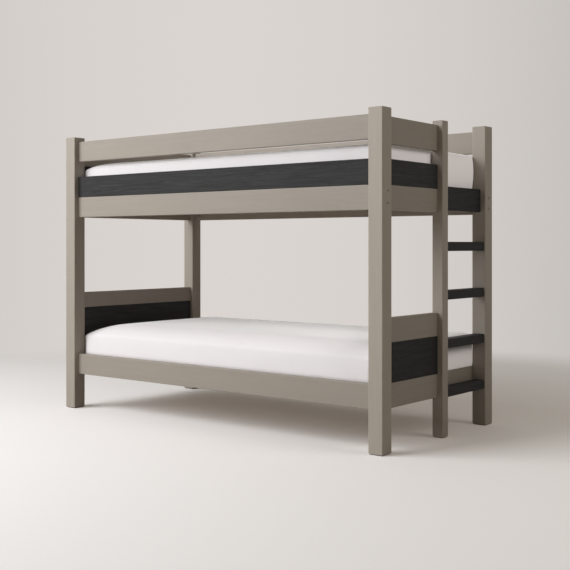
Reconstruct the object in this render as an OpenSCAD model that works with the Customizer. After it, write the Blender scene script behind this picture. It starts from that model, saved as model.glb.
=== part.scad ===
// Bunk bed: two parallel single berths in one post frame, with a ladder built into the foot end.
// +X runs from the head end to the foot end, the open front faces -Y, and +Z is up.
// The origin is on the floor, in the middle of the footprint.
// A board's level is given by its lower edge, as a height above the floor.

/* [Mattresses] */
// Length of each mattress
mattress_l = 2000; // [1900:10:2200]
// Width of each mattress
mattress_w = 900; // [800:10:1200]
// Thickness of each mattress
mattress_h = 176; // [140:2:200]
// Radius of the rounded top edges of a mattress
mattress_top_r = 55; // [25:1:55]
// Radius of the rounded bottom edges of a mattress
mattress_base_r = 10; // [6:1:45]
// Free space between a mattress and the boards round it
mattress_gap = 9; // [6:1:20]
// Least space between the rounded corner of a mattress and a post
mattress_post_gap = 11; // [5:1:20]

/* [Posts] */
// Side of a square corner post
post_w = 75; // [68:1:95]
// How far the corner posts rise above the guard rails
post_rise = 25; // [10:1:60]
// Rounding of the upright edges of all posts
post_edge_r = 4; // [2:0.5:8]
// Chamfer round the top of all posts
post_top_chamfer = 3; // [1:0.5:6]
// Thickness of the ladder post, along the bed
ladder_post_x = 57; // [50:1:80]
// Width of the ladder post, across the bed
ladder_post_y = 53; // [45:1:80]
// How much lower the ladder post ends than the corner posts
ladder_post_drop = 12; // [2:1:20]
// Clear width of the ladder, between the ladder post and the back post
ladder_clear_w = 380; // [320:5:420]
// Height of a glide under a post
glide_h = 4; // [2:1:10]
// How far a glide stays inside the sides of its post
glide_inset = 5; // [3:1:12]

/* [Boards] */
// Thickness of all boards and panels
board_t = 28; // [24:1:34]
// How far the boards' outer faces stay behind those of the posts
board_setback = 28; // [15:1:34]
// Width of the painted boards
board_w = 112; // [100:1:130]
// Width of the dark mattress rails and of the entry board
dark_board_w = 116; // [90:1:130]
// Width of the guard rails over the two ends
end_guard_w = 124; // [100:1:130]
// Rounding of the long edges of all boards
board_edge_r = 3; // [1:0.5:6]

/* [Levels] */
// Lower edge of the lower side rails
lower_rail_z = 193; // [170:1:260]
// Lower edge of the upper side rails
upper_rail_z = 1075; // [1000:5:1200]
// How far the lower slat deck stays below the top of its side rails
lower_deck_drop = 5; // [0:1:20]
// How far the upper slat deck stands above the top of its side rails
upper_deck_rise = 15; // [0:1:20]
// Gap between the dark mattress rails and the guard rails
guard_gap = 85; // [60:1:95]
// How much lower the end guard rails' tops are than those of the side guard rails
end_guard_drop = 8; // [0:1:15]
// Height of the dark panel in the lower foot end
foot_panel_h = 180; // [120:5:240]
// Height of the dark panel in the lower head end
head_panel_h = 259; // [180:1:320]
// Width of the top board over the lower head panel
head_cap_w = 86; // [70:1:120]

/* [Ladder] */
// Height of a rung
rung_h = 45; // [30:1:50]
// How far the rungs stay behind the outer faces of the posts
rung_inset = 8; // [0:1:15]
// Space between the rungs and the end of the lower mattress
rung_mattress_gap = 2; // [1:0.5:6]
// Top of the lowest rung above the floor
first_rung_top = 233; // [200:1:300]
// Rise from the highest rung to the top of the entry board
last_rise = 268; // [200:1:300]
// How much higher the entry board sits than the upper side rails
entry_lift = 12; // [0:1:14]
// Rounding of the long edges of the rungs
rung_edge_r = 4; // [2:0.5:8]

/* [Slat decks] */
// Width of a slat
slat_w = 70; // [50:1:90]
// Thickness of a slat
slat_t = 20; // [15:1:26]
// Largest gap between two slats
slat_gap_max = 75; // [50:1:75]
// Space between a slat's end and the side rail
slat_end_gap = 2; // [1:0.5:5]
// Thickness of a slat ledger
ledger_t = 25; // [20:1:35]
// Height of a slat ledger
ledger_h = 40; // [32:1:50]
// Space between a ledger's end and the cross-dowel nuts
ledger_nut_gap = 6; // [2:1:20]
// Number of screws in a ledger
ledger_screw_count = 7; // [4:1:10]

/* [Joinery] */
// Diameter of a bed bolt
bolt_d = 8; // [6:1:10]
// Diameter of a bed bolt's head
bolt_head_d = 13; // [12:1:16]
// Height of a bed bolt's head
bolt_head_h = 7; // [5:1:10]
// Upright distance between the two bolts of a rail end
bolt_spacing = 54; // [40:1:64]
// How far a bolt's head stays below the post's face
bolt_recess = 2; // [1:0.5:5]
// How far a bed bolt reaches past its cross-dowel nut
bolt_past_nut = 2; // [0:0.5:5]
// Space round a bolt's head in its counterbore
bolt_head_gap = 1; // [0.5:0.5:3]
// Distance from a rail's end to its cross-dowel nuts
nut_inset = 40; // [35:1:60]
// Diameter of a cross-dowel nut
nut_d = 14; // [13:1:18]
// Length of a cross-dowel nut
nut_l = 20; // [14:1:22]
// Diameter of a frame dowel
dowel_d = 10; // [6:1:10]
// Depth of a frame dowel in a post
dowel_in_post = 24; // [15:1:24]
// Depth of a frame dowel in a board
dowel_in_board = 36; // [20:1:45]
// Distance from a board's edge to its dowels
dowel_margin = 26; // [15:1:28]
// Distance between the two dowels in each end of a cross rail
cross_dowel_spacing = 20; // [14:1:20]
// Depth of a cross rail's dowels in the side rails
cross_dowel_depth = 16; // [8:1:20]
// Diameter of a screw's shank
screw_d = 5; // [4:0.5:6]
// Diameter of a screw's head
screw_head_d = 9; // [8:0.5:11]
// Height of a countersunk screw head
screw_head_h = 3; // [2:0.5:4]
// Depth of a ledger screw in the side rail
screw_bite = 16; // [10:1:20]
// Height of the ledger screws above the ledger's lower edge
ledger_screw_rise = 12; // [8:1:16]
// Clearance all round a fastener in its hole
fastener_gap = 0.15; // [0.1:0.05:0.4]

/* [Hidden] */

// Space left between a mattress and the slats under it
mattress_lift = 0.5;
// Least wall between two fastener holes that pass each other
hole_wall = 2;
// How much deeper a bolt's hole is than the bolt
bolt_hole_extra = 2;
// How far a cutting shape stands out of the face that it cuts
cut = 1;
// Least straight part left between the round edge and the round corner of a mattress
corner_extra = 5;
// Size of a bolt head's hexagon socket, as shares of the bolt's diameter and the head's height
socket_share = [0.8, 0.7];
// Angle between two points of a mattress's round edges
arc_step = 15;
// Number of rungs
rung_count = 4;

// Frame
rail_inner = board_setback + board_t;
board_mid = board_setback + board_t / 2;
frame_l = mattress_l + 2 * (mattress_gap + rail_inner);
frame_w = mattress_w + 2 * (mattress_gap + rail_inner);
half_l = frame_l / 2;
half_w = frame_w / 2;
post_face_x = half_l - post_w;
post_face_y = half_w - post_w;
board_x = half_l - board_mid;
board_y = half_w - board_mid;
inner_y = half_w - rail_inner;
ladder_y1 = post_face_y - ladder_clear_w;
ladder_y0 = ladder_y1 - ladder_post_y;

// Levels of the boards, each as [lower edge, width]
upper_rail = [upper_rail_z, board_w];
upper_dark = [upper_rail_z + board_w, dark_board_w];
guard = [upper_dark[0] + dark_board_w + guard_gap, board_w];
end_guard = [guard[0] + board_w - end_guard_drop - end_guard_w, end_guard_w];
upper_panel = [upper_dark[0], end_guard[0] - upper_dark[0]];
entry = [upper_rail_z + entry_lift, dark_board_w];
lower_rail = [lower_rail_z, board_w];
head_panel = [lower_rail_z + board_w, head_panel_h];
head_cap = [head_panel[0] + head_panel_h, head_cap_w];
foot_panel = [lower_rail_z + board_w, foot_panel_h];
foot_cap = [foot_panel[0] + foot_panel_h, board_w];
post_top_z = guard[0] + board_w + post_rise;
upper_deck = upper_rail_z + board_w + upper_deck_rise;
lower_deck = lower_rail_z + board_w - lower_deck_drop;
upper_cross = [upper_deck - board_w, board_w];
lower_cross = [lower_deck - board_w, board_w];
cross_x = post_face_x - board_t / 2;

// Rungs
rung_d = rail_inner + mattress_gap - rung_inset - rung_mattress_gap;
rung_rise = (entry[0] + dark_board_w - last_rise - first_rung_top) / (rung_count - 1);
rung_grip = min(ladder_post_x, rung_inset + rung_d) - rung_inset;
rung_dowel_x = half_l - rung_inset - rung_grip / 2;

// Mattress corners, rounded enough to clear the posts
corner_bite = post_w - rail_inner - mattress_gap;
corner_r = max((mattress_post_gap + corner_bite * sqrt(2)) / (sqrt(2) - 1),
    max(mattress_top_r, mattress_base_r) + corner_extra);

// Slat decks
ledger_end = post_face_x - nut_inset - nut_d / 2 - ledger_nut_gap;
slat_count = ceil((2 * ledger_end + slat_gap_max) / (slat_w + slat_gap_max));
slat_pitch = (2 * ledger_end - slat_w) / (slat_count - 1);
slat_l = 2 * (inner_y - slat_end_gap);
slat_screw_y = inner_y - ledger_t / 2;
slat_screw_depth = ledger_h - ledger_screw_rise - screw_head_d / 2 - hole_wall;
ledger_screw_pitch = (2 * ledger_end - 2 * ledger_screw_rise) / (ledger_screw_count - 1);

// Fasteners
dowel_depth = min(dowel_in_post, (ladder_post_y - hole_wall) / 2 - fastener_gap,
    post_w - board_mid - max(dowel_d, bolt_d) / 2 - hole_wall);
bolt_seat = bolt_recess + bolt_head_h;
bolt_reach = post_w + nut_inset + nut_d / 2 + bolt_past_nut;
bolt_hole_d = bolt_head_d + 2 * bolt_head_gap;

// Faces that boards butt against, each as [Y, direction into the post]
head_faces = [[-post_face_y, -1], [post_face_y, 1]];
foot_faces = [[-post_face_y, -1], [ladder_y0, 1]];
step_faces = [[ladder_y1, -1], [post_face_y, 1]];

// Joints, each as [point on the joint's face, direction into the post]
function dowel_heights(level) = [level[0] + dowel_margin, level[0] + level[1] - dowel_margin];
function long_joints(level) = [for (side = [-1, 1], end = [-1, 1], z = dowel_heights(level))
    [[end * post_face_x, side * board_y, z], [end, 0]]];
function end_joints(x, faces, level) = [for (face = faces, z = dowel_heights(level))
    [[x, face[0], z], [0, face[1]]]];
function rung_z(i) = first_rung_top - rung_h / 2 + i * rung_rise;
function rung_joints(i) = [for (face = step_faces, step = [-1, 1])
    [[rung_dowel_x + step * rung_grip / 4, face[0], rung_z(i)], [0, face[1]]]];
function cross_joints(rail) = [for (side = [-1, 1], step = [-1, 1])
    [[cross_x, side * inner_y, rail[0] + rail[1] / 2 + step * cross_dowel_spacing / 2], [0, side]]];
function bolt_points(rail) = [for (side = [-1, 1], end = [-1, 1], step = [-1, 1])
    [[end * half_l, side * board_y, rail[0] + rail[1] / 2 + step * bolt_spacing / 2], [-end, 0]]];
function flat_list(lists) = [for (list = lists) each list];
function near(points, x, y) = [for (point = points)
    if (abs(point[0][0] - x) <= post_w && abs(point[0][1] - y) <= post_w) point];

long_dowels = flat_list([long_joints(upper_dark), long_joints(guard)]);
head_dowels = flat_list([for (level = [lower_rail, head_panel, head_cap, upper_rail, upper_panel, end_guard])
    end_joints(-board_x, head_faces, level)]);
foot_dowels = flat_list([for (level = [lower_rail, foot_panel, foot_cap, upper_rail, upper_dark, end_guard])
    end_joints(board_x, foot_faces, level)]);
step_dowels = flat_list([end_joints(board_x, step_faces, entry),
    for (i = [0 : rung_count - 1]) rung_joints(i)]);
cross_dowels = flat_list([cross_joints(upper_rail), cross_joints(lower_rail)]);
all_bolts = flat_list([bolt_points(upper_rail), bolt_points(lower_rail)]);
ledger_points = [for (i = [0 : ledger_screw_count - 1])
    -ledger_end + ledger_screw_rise + i * ledger_screw_pitch];
slat_points = [for (i = [0 : slat_count - 1]) -ledger_end + slat_w / 2 + i * slat_pitch];

$fn = 32;
paint = [0.62, 0.59, 0.54];
dark = [0.15, 0.155, 0.16];
pine = [0.80, 0.68, 0.50];
beech = [0.76, 0.60, 0.42];
steel = [0.62, 0.62, 0.64];
black_plastic = [0.10, 0.10, 0.10];
cover = [0.93, 0.92, 0.93];

// Rectangle with round corners
module soft_rect(w, h, r) {
    square([w - 2 * r, h], center = true);
    square([w, h - 2 * r], center = true);
    for (x = [-1, 1], y = [-1, 1]) translate([x * (w / 2 - r), y * (h / 2 - r)]) circle(r);
}

// Bars with round long edges, centred on the origin
module bar_x(l, w, h, r) { rotate([90, 0, 90]) linear_extrude(l, center = true) soft_rect(w, h, r); }
module bar_y(l, w, h, r) { rotate([90, 0, 0]) linear_extrude(l, center = true) soft_rect(w, h, r); }

// Turns +Z to a level direction
module aim(dir) { rotate([0, 90, atan2(dir[1], dir[0])]) children(); }

// Dowels at the given joints, or their holes with grow
module dowels(joints, depth, grow = 0) {
    for (joint = joints) translate(joint[0]) aim(joint[1]) translate([0, 0, -dowel_in_board - grow])
        cylinder(d = dowel_d + 2 * grow, h = dowel_in_board + depth + 2 * grow);
}

// Bed bolts, from the post's outer face inwards
module bolts(points) {
    for (point = points) translate(point[0]) aim(point[1]) {
        difference() {
            translate([0, 0, bolt_recess]) cylinder(d = bolt_head_d, h = bolt_head_h);
            translate([0, 0, bolt_recess - cut])
                cylinder(d = bolt_d * socket_share[0], h = bolt_head_h * socket_share[1] + cut, $fn = 6);
        }
        translate([0, 0, bolt_seat]) cylinder(d = bolt_d, h = bolt_reach - bolt_seat);
    }
}

// Holes for the bed bolts, with a counterbore for the head
module bolt_holes(points) {
    for (point = points) translate(point[0]) aim(point[1]) {
        translate([0, 0, -cut]) cylinder(d = bolt_hole_d, h = bolt_seat + cut);
        cylinder(d = bolt_d + 2 * fastener_gap, h = bolt_reach + bolt_hole_extra);
    }
}

// Cross-dowel nuts, along the thickness of the side rails
module nuts(points, grow = 0) {
    for (point = points) {
        side = sign(point[0][1]);
        translate([point[0][0] + point[1][0] * (post_w + nut_inset), side * board_y, point[0][2]])
            aim([0, -side]) translate([0, 0, -nut_l / 2 - grow])
                cylinder(d = nut_d + 2 * grow, h = nut_l + (grow > 0 ? board_t : 0));
    }
}

// Countersunk screw that points down from the origin, or its hole with grow
module screw(l, grow = 0) {
    translate([0, 0, -screw_head_h])
        cylinder(d1 = screw_d + 2 * grow, d2 = screw_head_d + 2 * grow, h = screw_head_h);
    translate([0, 0, -l - grow]) cylinder(d = screw_d + 2 * grow, h = l + grow - screw_head_h);
    if (grow > 0) cylinder(d = screw_head_d + 2 * grow, h = cut);
}

// Post with round upright edges and a chamfered top, standing on its glide
module post_body(wx, wy, top) {
    h = top - glide_h;
    translate([0, 0, glide_h]) intersection() {
        linear_extrude(h) soft_rect(wx, wy, post_edge_r);
        rotate([90, 0, 0]) linear_extrude(wy + cut, center = true) post_side(wx, h);
        rotate([90, 0, 90]) linear_extrude(wx + cut, center = true) post_side(wy, h);
    }
}

// Side view of a post with its top chamfers
module post_side(w, h) {
    c = post_top_chamfer;
    polygon([[-w / 2, 0], [w / 2, 0], [w / 2, h - c], [w / 2 - c, h], [c - w / 2, h], [-w / 2, h - c]]);
}

module corner_post(end, side) {
    x = end * (half_l - post_w / 2);
    y = side * (half_w - post_w / 2);
    color(paint) difference() {
        translate([x, y, 0]) post_body(post_w, post_w, post_top_z);
        dowels(near(flat_list([long_dowels, head_dowels, foot_dowels, step_dowels]), x, y),
            dowel_depth, fastener_gap);
        bolt_holes(near(all_bolts, x, y));
    }
}

module ladder_post() {
    x = half_l - ladder_post_x / 2;
    y = (ladder_y0 + ladder_y1) / 2;
    color(paint) difference() {
        translate([x, y, 0]) post_body(ladder_post_x, ladder_post_y, post_top_z - ladder_post_drop);
        dowels(near(flat_list([foot_dowels, step_dowels]), x, y), dowel_depth, fastener_gap);
    }
}

module floor_glides() {
    color(black_plastic) {
        for (x = [-1, 1], y = [-1, 1])
            translate([x * (half_l - post_w / 2), y * (half_w - post_w / 2), 0])
                linear_extrude(glide_h)
                    soft_rect(post_w - 2 * glide_inset, post_w - 2 * glide_inset, post_edge_r);
        translate([half_l - ladder_post_x / 2, (ladder_y0 + ladder_y1) / 2, 0]) linear_extrude(glide_h)
            soft_rect(ladder_post_x - 2 * glide_inset, ladder_post_y - 2 * glide_inset, post_edge_r);
    }
}

// Board between two posts of one long side, held by dowels
module long_board(side, level, shade) {
    joints = near_side(long_joints(level), side);
    color(shade) difference() {
        translate([0, side * board_y, level[0] + level[1] / 2])
            bar_x(2 * post_face_x, board_t, level[1], board_edge_r);
        dowels(joints, dowel_depth, fastener_gap);
    }
}

function near_side(points, side) = [for (point = points) if (sign(point[0][1]) == side) point];

// Side rail between two posts, with its bolts, nuts, ledger screws and cross rail dowels
module side_rail(side, level, deck) {
    points = near_side(bolt_points(level), side);
    color(paint) difference() {
        translate([0, side * board_y, level[0] + level[1] / 2])
            bar_x(2 * post_face_x, board_t, level[1], board_edge_r);
        bolt_holes(points);
        nuts(points, fastener_gap);
        dowels(near_side(cross_joints(level), side), cross_dowel_depth, fastener_gap);
        ledger_fasteners(side, deck, fastener_gap);
    }
}

// Board between two posts of one end
module end_board(x, faces, level, shade) {
    y0 = faces[0][0];
    y1 = faces[1][0];
    color(shade) difference() {
        translate([x, (y0 + y1) / 2, level[0] + level[1] / 2])
            bar_y(y1 - y0, board_t, level[1], board_edge_r);
        dowels(end_joints(x, faces, level), dowel_depth, fastener_gap);
    }
}

// Cross rail that closes a slat deck behind the ladder
module cross_rail(level, rail) {
    color(paint) difference() {
        translate([cross_x, 0, level[0] + level[1] / 2]) bar_y(2 * inner_y, board_t, level[1], board_edge_r);
        dowels(cross_joints(rail), cross_dowel_depth, fastener_gap);
    }
}

module rung(i) {
    color(dark) difference() {
        translate([half_l - rung_inset - rung_d / 2, (ladder_y1 + post_face_y) / 2, rung_z(i)])
            bar_y(ladder_clear_w, rung_d, rung_h, rung_edge_r);
        dowels(rung_joints(i), dowel_depth, fastener_gap);
    }
}

// Screws of one ledger, driven outwards into the side rail
module ledger_fasteners(side, deck, grow = 0) {
    for (x = ledger_points)
        translate([x, side * (inner_y - ledger_t), deck - slat_t - ledger_h + ledger_screw_rise])
            aim([0, -side]) screw(ledger_t + screw_bite, grow);
}

// Screws of one deck's slats, driven down into the ledgers
module slat_fasteners(deck, sides, grow = 0) {
    for (x = slat_points, side = sides)
        translate([x, side * slat_screw_y, deck]) screw(slat_t + slat_screw_depth, grow);
}

module ledger(side, deck) {
    color(pine) difference() {
        translate([0, side * (inner_y - ledger_t / 2), deck - slat_t - ledger_h / 2])
            cube([2 * ledger_end, ledger_t, ledger_h], center = true);
        ledger_fasteners(side, deck, fastener_gap);
        slat_fasteners(deck, [side], fastener_gap);
    }
}

module slats(deck) {
    color(pine) difference() {
        for (x = slat_points) translate([x, 0, deck - slat_t / 2])
            bar_y(slat_l, slat_w, slat_t, board_edge_r);
        slat_fasteners(deck, [-1, 1], fastener_gap);
    }
}

// Points of one rounded edge of a mattress corner, r in radius, level z at its centre
function edge_arc(r, z, start) = [for (a = [start : arc_step : start + 90])
    [corner_r - r + r * cos(a), z + r * sin(a)]];

// Half of a mattress corner's section, from its axis outwards
module corner_section() {
    polygon(concat([[0, 0]], edge_arc(mattress_base_r, mattress_base_r, -90),
        edge_arc(mattress_top_r, mattress_h - mattress_top_r, 0), [[0, mattress_h]]));
}

module mattress(deck) {
    color(cover) translate([0, 0, deck + mattress_lift]) hull()
        for (x = [-1, 1], y = [-1, 1])
            translate([x * (mattress_l / 2 - corner_r), y * (mattress_w / 2 - corner_r), 0])
                rotate_extrude($fn = 32) corner_section();
}

module post_front_left() { corner_post(-1, -1); }
module post_front_right() { corner_post(1, -1); }
module post_back_left() { corner_post(-1, 1); }
module post_back_right() { corner_post(1, 1); }
module upper_front_guard_rail() { long_board(-1, guard, paint); }
module upper_front_dark_rail() { long_board(-1, upper_dark, dark); }
module upper_front_side_rail() { side_rail(-1, upper_rail, upper_deck); }
module upper_back_guard_rail() { long_board(1, guard, paint); }
module upper_back_dark_rail() { long_board(1, upper_dark, dark); }
module upper_back_side_rail() { side_rail(1, upper_rail, upper_deck); }
module upper_head_guard_rail() { end_board(-board_x, head_faces, end_guard, paint); }
module upper_head_panel() { end_board(-board_x, head_faces, upper_panel, dark); }
module upper_head_end_rail() { end_board(-board_x, head_faces, upper_rail, paint); }
module upper_foot_guard_rail() { end_board(board_x, foot_faces, end_guard, paint); }
module upper_foot_dark_rail() { end_board(board_x, foot_faces, upper_dark, dark); }
module upper_foot_end_rail() { end_board(board_x, foot_faces, upper_rail, paint); }
module entry_board() { end_board(board_x, step_faces, entry, dark); }
module upper_cross_rail() { cross_rail(upper_cross, upper_rail); }
module lower_front_side_rail() { side_rail(-1, lower_rail, lower_deck); }
module lower_back_side_rail() { side_rail(1, lower_rail, lower_deck); }
module lower_head_top_board() { end_board(-board_x, head_faces, head_cap, paint); }
module lower_head_panel() { end_board(-board_x, head_faces, head_panel, dark); }
module lower_head_end_rail() { end_board(-board_x, head_faces, lower_rail, paint); }
module lower_foot_top_board() { end_board(board_x, foot_faces, foot_cap, paint); }
module lower_foot_panel() { end_board(board_x, foot_faces, foot_panel, dark); }
module lower_foot_end_rail() { end_board(board_x, foot_faces, lower_rail, paint); }
module lower_cross_rail() { cross_rail(lower_cross, lower_rail); }
module ladder_rung_1() { rung(0); }
module ladder_rung_2() { rung(1); }
module ladder_rung_3() { rung(2); }
module ladder_rung_4() { rung(3); }
module upper_front_ledger() { ledger(-1, upper_deck); }
module upper_back_ledger() { ledger(1, upper_deck); }
module lower_front_ledger() { ledger(-1, lower_deck); }
module lower_back_ledger() { ledger(1, lower_deck); }
module upper_slats() { slats(upper_deck); }
module lower_slats() { slats(lower_deck); }
module upper_slat_screws() { color(steel) slat_fasteners(upper_deck, [-1, 1]); }
module lower_slat_screws() { color(steel) slat_fasteners(lower_deck, [-1, 1]); }

module ledger_screws() {
    color(steel) for (side = [-1, 1], deck = [upper_deck, lower_deck]) ledger_fasteners(side, deck);
}

module upper_rail_bolts() { color(steel) bolts(bolt_points(upper_rail)); }
module lower_rail_bolts() { color(steel) bolts(bolt_points(lower_rail)); }

module cross_dowel_nuts() {
    color(steel) difference() {
        nuts(all_bolts);
        bolt_holes(all_bolts);
    }
}

// Flat caps over the sunk heads of the lower bolts
module lower_bolt_caps() {
    color(paint) for (point = bolt_points(lower_rail)) translate(point[0]) aim(point[1])
        cylinder(d = bolt_hole_d - 2 * fastener_gap, h = bolt_recess - fastener_gap);
}

module long_rail_dowels() { color(beech) dowels(long_dowels, dowel_depth); }
module head_end_dowels() { color(beech) dowels(head_dowels, dowel_depth); }
module foot_end_dowels() { color(beech) dowels(foot_dowels, dowel_depth); }
module rung_dowels() { color(beech) dowels(step_dowels, dowel_depth); }
module cross_rail_dowels() { color(beech) dowels(cross_dowels, cross_dowel_depth); }
module upper_mattress() { mattress(upper_deck); }
module lower_mattress() { mattress(lower_deck); }

post_front_left();
post_front_right();
post_back_left();
post_back_right();
ladder_post();
floor_glides();
upper_front_guard_rail();
upper_front_dark_rail();
upper_front_side_rail();
upper_back_guard_rail();
upper_back_dark_rail();
upper_back_side_rail();
upper_head_guard_rail();
upper_head_panel();
upper_head_end_rail();
upper_foot_guard_rail();
upper_foot_dark_rail();
upper_foot_end_rail();
entry_board();
upper_cross_rail();
lower_front_side_rail();
lower_back_side_rail();
lower_head_top_board();
lower_head_panel();
lower_head_end_rail();
lower_foot_top_board();
lower_foot_panel();
lower_foot_end_rail();
lower_cross_rail();
ladder_rung_1();
ladder_rung_2();
ladder_rung_3();
ladder_rung_4();
upper_front_ledger();
upper_back_ledger();
lower_front_ledger();
lower_back_ledger();
upper_slats();
lower_slats();
upper_slat_screws();
lower_slat_screws();
ledger_screws();
upper_rail_bolts();
lower_rail_bolts();
cross_dowel_nuts();
lower_bolt_caps();
long_rail_dowels();
head_end_dowels();
foot_end_dowels();
rung_dowels();
cross_rail_dowels();
upper_mattress();
lower_mattress();
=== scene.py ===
"""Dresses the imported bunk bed: painted and stained timber, bare slats, fasteners, sewn mattresses and a studio."""

import math

import bmesh
import bpy
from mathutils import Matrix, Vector


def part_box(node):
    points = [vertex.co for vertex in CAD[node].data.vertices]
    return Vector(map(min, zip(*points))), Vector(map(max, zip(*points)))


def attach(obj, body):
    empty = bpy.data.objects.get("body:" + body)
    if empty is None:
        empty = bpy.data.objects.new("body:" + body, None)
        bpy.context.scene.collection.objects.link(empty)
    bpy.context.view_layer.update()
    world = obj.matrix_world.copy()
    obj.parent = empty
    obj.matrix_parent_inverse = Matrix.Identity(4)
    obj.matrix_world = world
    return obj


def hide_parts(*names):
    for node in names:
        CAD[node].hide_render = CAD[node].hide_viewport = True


bl_info = {
    "name": "Bunk Bed Dressing",
    "version": (1, 0, 0),
    "blender": (4, 5, 0),
    "location": "3D View > Sidebar > Bunk Bed",
    "description": "Timber finishes, mattresses and a plain studio for the bunk bed",
    "category": "Object",
}

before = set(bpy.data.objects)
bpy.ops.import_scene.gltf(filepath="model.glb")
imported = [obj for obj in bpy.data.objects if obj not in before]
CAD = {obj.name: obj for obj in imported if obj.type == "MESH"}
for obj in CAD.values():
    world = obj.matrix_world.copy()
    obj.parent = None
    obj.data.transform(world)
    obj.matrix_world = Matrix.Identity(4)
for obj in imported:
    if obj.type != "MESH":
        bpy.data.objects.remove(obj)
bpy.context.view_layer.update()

# CAD nodes by finish, by the way their grain runs, and by the painted light and painted shade in their finish
PAINTED_UPRIGHT = ["post_front_left", "post_back_left", "post_back_right", "ladder_post"]
# The front right post, whose paint is made paler still: painted light
PAINTED_WITH_EXTRA_PAINTED_LIGHT = ["post_front_right"]
PAINTED_LONG = [
    "upper_front_guard_rail", "upper_front_side_rail", "upper_back_guard_rail", "upper_back_side_rail",
    "lower_front_side_rail", "lower_back_side_rail",
]
PAINTED_CROSS = [
    "upper_head_guard_rail", "upper_head_end_rail", "upper_foot_guard_rail", "upper_foot_end_rail",
    "upper_cross_rail", "lower_head_top_board", "lower_head_end_rail", "lower_foot_top_board",
    "lower_foot_end_rail", "lower_cross_rail",
]
STAINED_LONG = ["upper_front_dark_rail", "upper_back_dark_rail"]
STAINED_CROSS = ["upper_head_panel", "upper_foot_dark_rail", "lower_head_panel"]
# Boards at the ladder end, whose stain is made darker: painted shade
STAINED_IN_PAINTED_SHADE = [
    "entry_board", "lower_foot_panel", "ladder_rung_1", "ladder_rung_2", "ladder_rung_3", "ladder_rung_4",
]
LEDGERS = ["upper_front_ledger", "upper_back_ledger", "lower_front_ledger", "lower_back_ledger"]
SLATS = ["upper_slats", "lower_slats"]
STEEL = ["upper_slat_screws", "lower_slat_screws", "ledger_screws", "cross_dowel_nuts"]
BOLTS = ["upper_rail_bolts", "lower_rail_bolts"]
DOWELS_LONG = ["long_rail_dowels"]
DOWELS_CROSS = ["head_end_dowels", "foot_end_dowels", "rung_dowels", "cross_rail_dowels"]
CAPS = ["lower_bolt_caps"]
GLIDES = ["floor_glides"]
MATTRESSES = ["upper_mattress", "lower_mattress"]

# Turns that bring the grain's direction to a texture's X
ALONG = (0.0, 0.0, 0.0)
ACROSS = (0.0, 0.0, math.radians(-90))
UPRIGHT = (0.0, math.radians(90), 0.0)

# How a cover is made
CORNER_STEPS, RIM_STEPS = 8, 5  # facets of its rounded corners and rims
BASE_RADIUS = 0.003  # round of its bottom edge before it is filled
BASE_LAYER = 0.6  # mesh steps above its lowest point that count as the base, which rests on the slats
FILL_FRAMES = 20  # length of the cloth simulation
EVEN_ROUNDS, EVEN_SHARE = 8, 0.5  # rounds of smoothing of its top, and how much of the way each one goes
EVEN_FACING = 0.8  # least upward part of the normal of a point that is smoothed
SIDE_FACING = 0.5  # a face whose normal is less upright than this belongs to a side
LEVEL_GAP = 0.0001  # points closer than this are on one level

# How a cover lies in its berth, in metres
POST_REACH, POST_EASE = 0.048, 0.032  # where a side begins to pull in towards a post, and over which length
WALL_REACH, WALL_EASE = 0.014, 0.011  # from where a side goes out to its limit, and over which depth
WALL_HOLD, WALL_FADE = 0.85, 1.5  # how far it goes above the base, and how that fades with the height
ENTRY_EASE, ENTRY_REACH = 0.06, 0.08  # over which width and depth the entry bulge comes and goes

# The lamps: place, target, width and colour
KEY_LAMP = (-2.75, -4.51, 3.67), (0.0, 0.0, 0.7), 4.84, (0.975, 0.985, 1.0)
SIDE_LAMP = (4.0, 0.5, 2.7), (1.0, 0.0, 1.0), 1.8, (1.0, 0.945, 0.845)
MATTRESS_LAMP = (4.4, -0.9, 2.3), (0.8, 0.0, 0.8), 1.6, (1.0, 0.96, 0.93)
FILL_COLOUR = (1.0, 0.95, 0.83, 1.0)
FILL_LEAST = 0.05  # least share of the fill from any side

# The floor and the background
FLOOR_HALF = 150.0  # half the width of the floor
FLOOR_NEAR, FLOOR_FAR = 2.7, 4.0  # distances from the bed between which it turns into the background
FLOOR_HAZE = (0.84, 0.72, 0.61, 1.0)  # warm light in its shadows
FAN_CENTRE, FAN_CORE = (3.4, -4.2, 0.0), 4.0  # the floor's background colours fan out from here, softly in the core
RIGHTWARD = (0.779, 0.626, 0.0)  # the way in which the background gets darker
PALEST, DARKENING, DARKEST = 0.06, 1.6, 0.8  # where it is palest, how fast it gets darker, and its least share

# The camera's frame
SENSOR_WIDTH = 36.0  # millimetres
SHIFT = (0.0064, -0.0715)  # shares of the frame's width


def colour_value(name, text, default):
    """A colour that the user can change, in linear light."""
    return bpy.props.FloatVectorProperty(
        name=name, description=text, default=default, size=3, min=0.0, max=1.0, subtype="COLOR"
    )


def length_value(name, text, default, low, high):
    """A length that the user can change, in metres."""
    return bpy.props.FloatProperty(
        name=name, description=text, default=default, min=low, max=high, unit="LENGTH", precision=5
    )


def share_value(name, text, default, low=0.0, high=1.0):
    """A plain share or strength that the user can change."""
    return bpy.props.FloatProperty(name=name, description=text, default=default, min=low, max=high, subtype="FACTOR")


def power_value(name, text, default):
    """The power of a lamp, in watts."""
    return bpy.props.FloatProperty(name=name, description=text, default=default, min=0.0, unit="POWER")


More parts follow.
